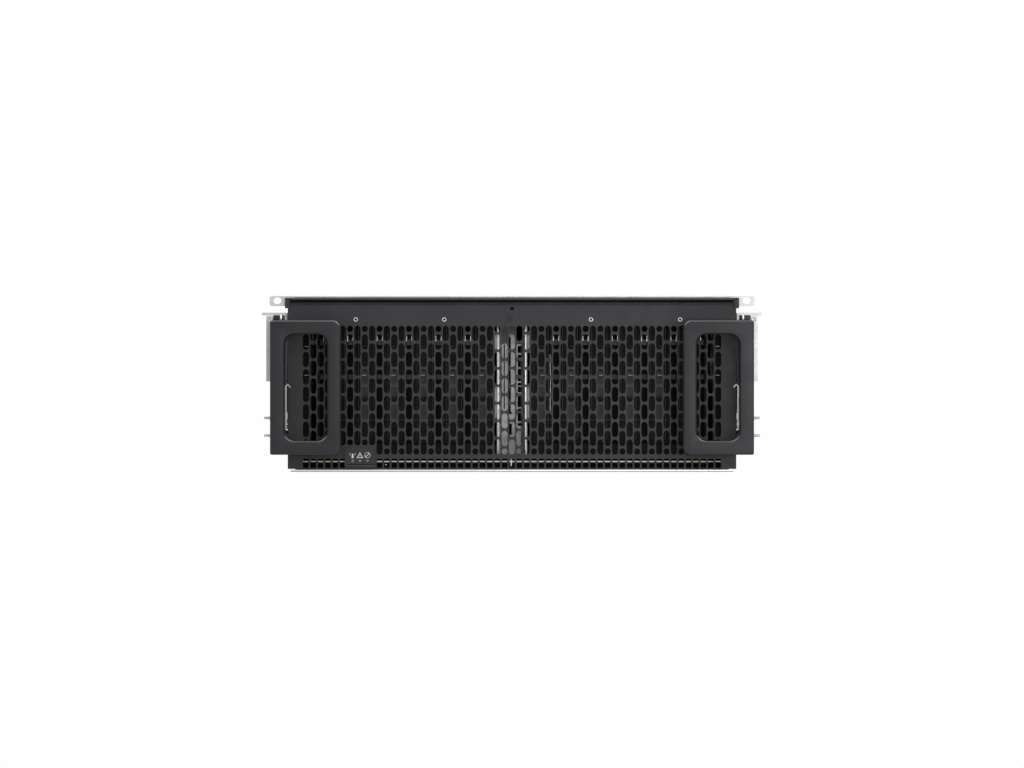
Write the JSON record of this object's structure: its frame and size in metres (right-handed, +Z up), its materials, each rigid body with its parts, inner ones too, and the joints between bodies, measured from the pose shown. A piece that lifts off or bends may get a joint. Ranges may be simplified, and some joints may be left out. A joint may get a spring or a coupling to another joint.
{
  "type": "storage array",
  "caption": "Top-loading rack drive enclosure with perforated front, pull handles, telescopic rails, sliding cover and plug-in power, fan and controller modules.",
  "frame": {"origin": "on the rack's mounting plane, on the centre line, at the underside of the chassis floor", "axes": "+X to the right seen from the front, +Y from the front to the rear, +Z up"},
  "size_m": [0.496, 0.903, 0.1742],
  "materials": {
    "black_paint": "satin black powder coat",
    "zinc_sheet": "zinc plated sheet, satin",
    "pale_zinc": "bright zinc plated sheet, satin",
    "rail_steel": "zinc plated, satin",
    "module_grey": "satin",
    "latch_plastic": "matte",
    "bezel_plastic": "semi-gloss",
    "light_lens": "frosted, unlit",
    "board": "solder mask",
    "socket_plastic": "matte",
    "drive_case": "cast, satin",
    "carrier_plastic": "matte",
    "fan_plastic": "matte"
  },
  "bodies": {
    "chassis": {"base_tray": "zinc_sheet", "left_side_wall": "zinc_sheet", "right_side_wall": "zinc_sheet", "front_grille": "black_paint", "front_hood": "black_paint", "status_bezel": "bezel_plastic", "left_handle": "black_paint", "right_handle": "black_paint", "trigger_pins": "rail_steel", "baseboard": "board", "drive_sockets": "socket_plastic", "cage_walls": "zinc_sheet", "centre_baffle": "zinc_sheet", "cross_beams": "black_paint", "rear_frame": "zinc_sheet", "rear_deck": "zinc_sheet", "rear_shelves": "zinc_sheet", "module_walls": "zinc_sheet", "left_inner_rail": "rail_steel", "right_inner_rail": "rail_steel", "drive_row_1": "drive_case", "drive_row_2": "drive_case", "drive_row_3": "drive_case", "drive_row_4": "drive_case", "drive_row_5": "drive_case", "carrier_row_1": "carrier_plastic", "carrier_row_2": "carrier_plastic", "carrier_row_3": "carrier_plastic", "carrier_row_4": "carrier_plastic", "carrier_row_5": "carrier_plastic"},
    "cover": {"cover_sheet": "pale_zinc", "left_cover_ear": "pale_zinc", "right_cover_ear": "pale_zinc"},
    "left_mid": {"left_mid_rail": "rail_steel"},
    "left_outer": {"left_outer_rail": "rail_steel", "left_rail_front_bracket": "rail_steel", "left_rail_rear_bracket": "rail_steel"},
    "left_trigger": {"left_release_trigger": "rail_steel"},
    "left_supply": {"left_power_supply": "module_grey"},
    "left_latch": {"left_supply_latch": "latch_plastic"},
    "right_mid": {"right_mid_rail": "rail_steel"},
    "right_outer": {"right_outer_rail": "rail_steel", "right_rail_front_bracket": "rail_steel", "right_rail_rear_bracket": "rail_steel"},
    "right_trigger": {"right_release_trigger": "rail_steel"},
    "right_supply": {"right_power_supply": "module_grey"},
    "right_latch": {"right_supply_latch": "latch_plastic"},
    "lower_io": {"lower_io_module": "module_grey"},
    "upper_io": {"upper_io_module": "module_grey"},
    "fan_1": {"fan_frame_1": "fan_plastic"},
    "rotor_1": {"fan_rotor_1": "fan_plastic"},
    "fan_2": {"fan_frame_2": "fan_plastic"},
    "rotor_2": {"fan_rotor_2": "fan_plastic"},
    "fan_3": {"fan_frame_3": "fan_plastic"},
    "rotor_3": {"fan_rotor_3": "fan_plastic"},
    "fan_4": {"fan_frame_4": "fan_plastic"},
    "rotor_4": {"fan_rotor_4": "fan_plastic"}
  },
  "joints": [
    {"name": "cover_slide", "type": "slide", "parent": "chassis", "child": "cover", "axis": [0, 1, 0], "range_m": [0, 0.62]},
    {"name": "left_mid_slide", "type": "slide", "parent": "chassis", "child": "left_mid", "axis": [0, 1, 0], "range_m": [0, 0.31]},
    {"name": "left_outer_slide", "type": "slide", "parent": "left_mid", "child": "left_outer", "axis": [0, 1, 0], "range_m": [0, 0.31]},
    {"name": "left_trigger_pivot", "type": "hinge", "parent": "chassis", "child": "left_trigger", "pos_m": [-0.22335, -0.014, 0.047], "axis": [1, 0, 0], "range_deg": [0, 10], "stiffness_Nm_per_rad": 0.2, "springref_deg": -8.59},
    {"name": "left_supply_slide", "type": "slide", "parent": "chassis", "child": "left_supply", "axis": [0, 1, 0], "range_m": [0, 0.19]},
    {"name": "left_latch_press", "type": "slide", "parent": "left_supply", "child": "left_latch", "axis": [1, 0, 0], "range_m": [0, 0.003], "stiffness_N_per_m": 800, "springref_m": -0.001},
    {"name": "right_mid_slide", "type": "slide", "parent": "chassis", "child": "right_mid", "axis": [0, 1, 0], "range_m": [0, 0.31]},
    {"name": "right_outer_slide", "type": "slide", "parent": "right_mid", "child": "right_outer", "axis": [0, 1, 0], "range_m": [0, 0.31]},
    {"name": "right_trigger_pivot", "type": "hinge", "parent": "chassis", "child": "right_trigger", "pos_m": [0.22335, -0.014, 0.047], "axis": [1, 0, 0], "range_deg": [0, 10], "stiffness_Nm_per_rad": 0.2, "springref_deg": -8.59},
    {"name": "right_supply_slide", "type": "slide", "parent": "chassis", "child": "right_supply", "axis": [0, 1, 0], "range_m": [0, 0.19]},
    {"name": "right_latch_press", "type": "slide", "parent": "right_supply", "child": "right_latch", "axis": [-1, 0, 0], "range_m": [0, 0.003], "stiffness_N_per_m": 800, "springref_m": -0.001},
    {"name": "lower_io_slide", "type": "slide", "parent": "chassis", "child": "lower_io", "axis": [0, 1, 0], "range_m": [0, 0.19]},
    {"name": "upper_io_slide", "type": "slide", "parent": "chassis", "child": "upper_io", "axis": [0, 1, 0], "range_m": [0, 0.19]},
    {"name": "fan_1_slide", "type": "slide", "parent": "chassis", "child": "fan_1", "axis": [0, 1, 0], "range_m": [0, 0.075]},
    {"name": "fan_1_spin", "type": "hinge", "parent": "fan_1", "child": "rotor_1", "pos_m": [-0.16034, 0.8, 0.12835], "axis": [0, 1, 0], "continuous": true},
    {"name": "fan_2_slide", "type": "slide", "parent": "chassis", "child": "fan_2", "axis": [0, 1, 0], "range_m": [0, 0.075]},
    {"name": "fan_2_spin", "type": "hinge", "parent": "fan_2", "child": "rotor_2", "pos_m": [-0.05344, 0.8, 0.12835], "axis": [0, 1, 0], "continuous": true},
    {"name": "fan_3_slide", "type": "slide", "parent": "chassis", "child": "fan_3", "axis": [0, 1, 0], "range_m": [0, 0.075]},
    {"name": "fan_3_spin", "type": "hinge", "parent": "fan_3", "child": "rotor_3", "pos_m": [0.05344, 0.8, 0.12835], "axis": [0, 1, 0], "continuous": true},
    {"name": "fan_4_slide", "type": "slide", "parent": "chassis", "child": "fan_4", "axis": [0, 1, 0], "range_m": [0, 0.075]},
    {"name": "fan_4_spin", "type": "hinge", "parent": "fan_4", "child": "rotor_4", "pos_m": [0.16034, 0.8, 0.12835], "axis": [0, 1, 0], "continuous": true}
  ],
  "couplings": [
    {"joint": "left_mid_slide", "follows": "cover_slide", "ratio": 0.5},
    {"joint": "left_outer_slide", "follows": "cover_slide", "ratio": 0.5},
    {"joint": "right_mid_slide", "follows": "cover_slide", "ratio": 0.5},
    {"joint": "right_outer_slide", "follows": "cover_slide", "ratio": 0.5}
  ]
}
